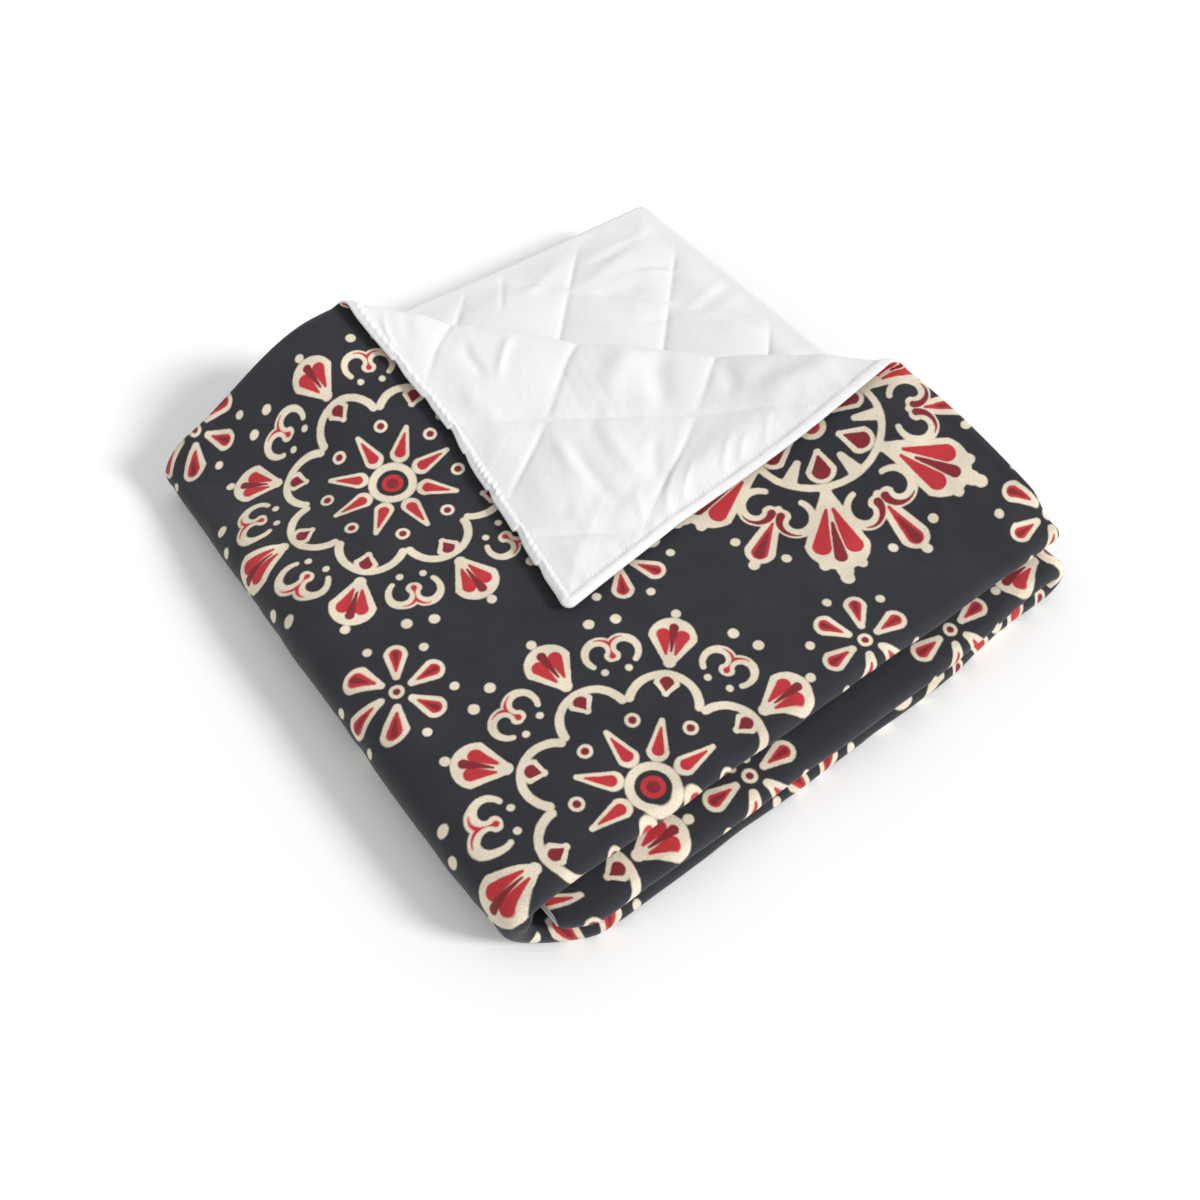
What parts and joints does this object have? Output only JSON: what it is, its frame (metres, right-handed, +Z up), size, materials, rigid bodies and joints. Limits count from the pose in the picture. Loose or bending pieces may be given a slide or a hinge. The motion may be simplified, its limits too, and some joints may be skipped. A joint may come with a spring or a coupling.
{
  "type": "quilt",
  "caption": "Quilted throw blanket folded in half and in thirds, printed face outside, white diamond-quilted backing shown by a turned-back top corner",
  "frame": {"origin": "on the surface that the folded throw rests on, under the middle of its bounding box", "axes": "+Z up through the stacked layers, +Y from the half-fold side towards the open hems, +X from the wrapped side towards the open end"},
  "size_m": [0.5228, 0.5396, 0.1045],
  "materials": {
    "printed_cloth": "soft brushed polyester cloth, dark charcoal ground with a cream and red printed ornament",
    "white_cloth": "smooth white polyester backing, quilted in diamonds"
  },
  "bodies": {
    "root": {"printed_face": "printed_cloth", "white_backing": "white_cloth"}
  },
  "joints": []
}
